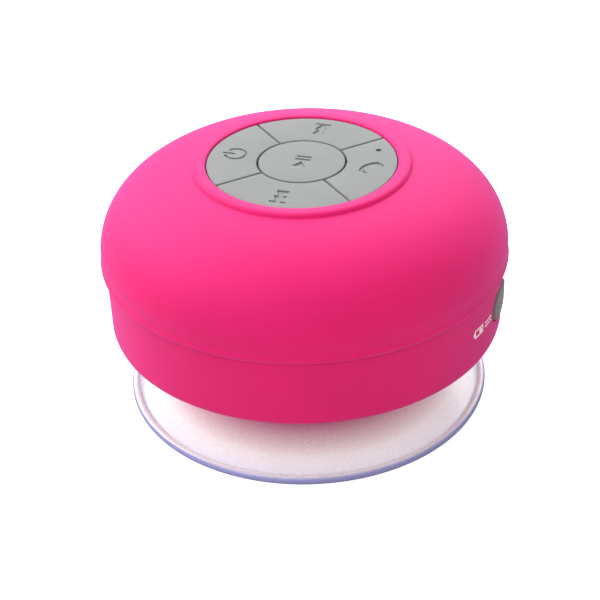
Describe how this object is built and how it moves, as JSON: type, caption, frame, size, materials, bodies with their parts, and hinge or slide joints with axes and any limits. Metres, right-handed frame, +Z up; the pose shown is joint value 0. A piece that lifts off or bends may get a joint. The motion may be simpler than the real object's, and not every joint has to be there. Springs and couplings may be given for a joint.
{
  "type": "shower speaker",
  "caption": "Round silicone-covered wireless shower speaker with a top keypad, a downward driver and a clear suction cup that swivels.",
  "frame": {"origin": "centre of the suction cup's rim, on the face that rests or sticks", "axes": "+Z up through the keypad; +X towards the charging port and the call key; +Y towards the next key"},
  "size_m": [0.0868, 0.0868, 0.0542],
  "materials": {
    "skin_silicone": "soft-touch matte silicone, bright pink",
    "cup_vinyl": "clear soft vinyl with a finely frosted back",
    "key_silicone": "fine-grained light grey silicone",
    "cover_silicone": "grey silicone",
    "shell_plastic": "moulded black plastic, fine texture",
    "seal_rubber": "soft black rubber and foam",
    "washer_plastic": "slippery white plastic",
    "stud_plastic": "hard black plastic",
    "screw_steel": "zinc-plated steel",
    "board_laminate": "green lacquered laminate with copper tracks",
    "chip_plastic": "black moulding compound",
    "stem_plastic": "natural nylon",
    "socket_steel": "tinned steel",
    "tongue_plastic": "black plastic with gilt contacts",
    "cell_foil": "laminated foil pouch",
    "basket_steel": "zinc-plated pressed steel",
    "magnet_ferrite": "sintered ferrite",
    "coil_copper": "enamelled copper wire on a former",
    "cone_film": "black pressed film",
    "spider_cloth": "resin-treated cloth",
    "mesh_cloth": "fine black acoustic cloth",
    "lead_wire": "insulated leads"
  },
  "bodies": {
    "cup": {"suction_cup": "cup_vinyl", "cup_stud": "stud_plastic", "retaining_clip": "screw_steel"},
    "housing": {"amplifier_chip": "chip_plastic", "base_skin": "skin_silicone", "battery_cell": "cell_foil", "battery_leads": "lead_wire", "battery_pads": "seal_rubber", "board_screws": "screw_steel", "charge_board": "board_laminate", "charge_board_screws": "screw_steel", "charging_leads": "lead_wire", "charging_socket": "socket_steel", "cone_spider": "spider_cloth", "cone_surround": "seal_rubber", "driver_basket": "basket_steel", "driver_gasket": "seal_rubber", "driver_magnet": "magnet_ferrite", "driver_yoke": "basket_steel", "keypad_mat": "key_silicone", "lower_shell": "shell_plastic", "magnet_plate": "basket_steel", "main_board": "board_laminate", "microphone": "socket_steel", "microphone_boot": "seal_rubber", "port_cover_anchor": "cover_silicone", "radio_chip": "chip_plastic", "shell_screws": "screw_steel", "shell_seal": "seal_rubber", "socket_tongue": "tongue_plastic", "speaker_leads": "lead_wire", "speaker_mesh": "mesh_cloth", "switch_bodies": "chip_plastic", "swivel_washer": "washer_plastic", "top_skin": "skin_silicone", "upper_shell": "shell_plastic"},
    "play_key_body": {"play_key": "key_silicone", "play_stem": "stem_plastic"},
    "power_key_body": {"power_key": "key_silicone", "power_stem": "stem_plastic"},
    "next_key_body": {"next_key": "key_silicone", "next_stem": "stem_plastic"},
    "previous_key_body": {"previous_key": "key_silicone", "previous_stem": "stem_plastic"},
    "call_key_body": {"call_key": "key_silicone", "call_stem": "stem_plastic"},
    "cone": {"voice_coil": "coil_copper", "speaker_cone": "cone_film", "dust_cap": "cone_film"},
    "cover": {"port_cover": "cover_silicone"}
  },
  "joints": [
    {"name": "cup_swivel", "type": "hinge", "parent": "cup", "child": "housing", "pos_m": [0, 0, 0], "axis": [0, 0, 1], "continuous": true},
    {"name": "play_press", "type": "slide", "parent": "housing", "child": "play_key_body", "axis": [0, 0, -1], "range_m": [0, 0.0005], "stiffness_N_per_m": 800, "springref_m": -0.0005},
    {"name": "power_press", "type": "slide", "parent": "housing", "child": "power_key_body", "axis": [0, 0, -1], "range_m": [0, 0.0005], "stiffness_N_per_m": 800, "springref_m": -0.0005},
    {"name": "next_press", "type": "slide", "parent": "housing", "child": "next_key_body", "axis": [0, 0, -1], "range_m": [0, 0.0005], "stiffness_N_per_m": 800, "springref_m": -0.0005},
    {"name": "previous_press", "type": "slide", "parent": "housing", "child": "previous_key_body", "axis": [0, 0, -1], "range_m": [0, 0.0005], "stiffness_N_per_m": 800, "springref_m": -0.0005},
    {"name": "call_press", "type": "slide", "parent": "housing", "child": "call_key_body", "axis": [0, 0, -1], "range_m": [0, 0.0005], "stiffness_N_per_m": 800, "springref_m": -0.0005},
    {"name": "cone_stroke", "type": "slide", "parent": "housing", "child": "cone", "axis": [0, 0, 1], "range_m": [-0.001, 0.001], "stiffness_N_per_m": 1500, "deforming": ["cone_surround", "cone_spider"]},
    {"name": "cover_flap", "type": "hinge", "parent": "housing", "child": "cover", "pos_m": [0.0423, 0.0058, 0.0262], "axis": [0, 0, 1], "range_deg": [0, 110], "stiffness_Nm_per_rad": 0.002}
  ]
}
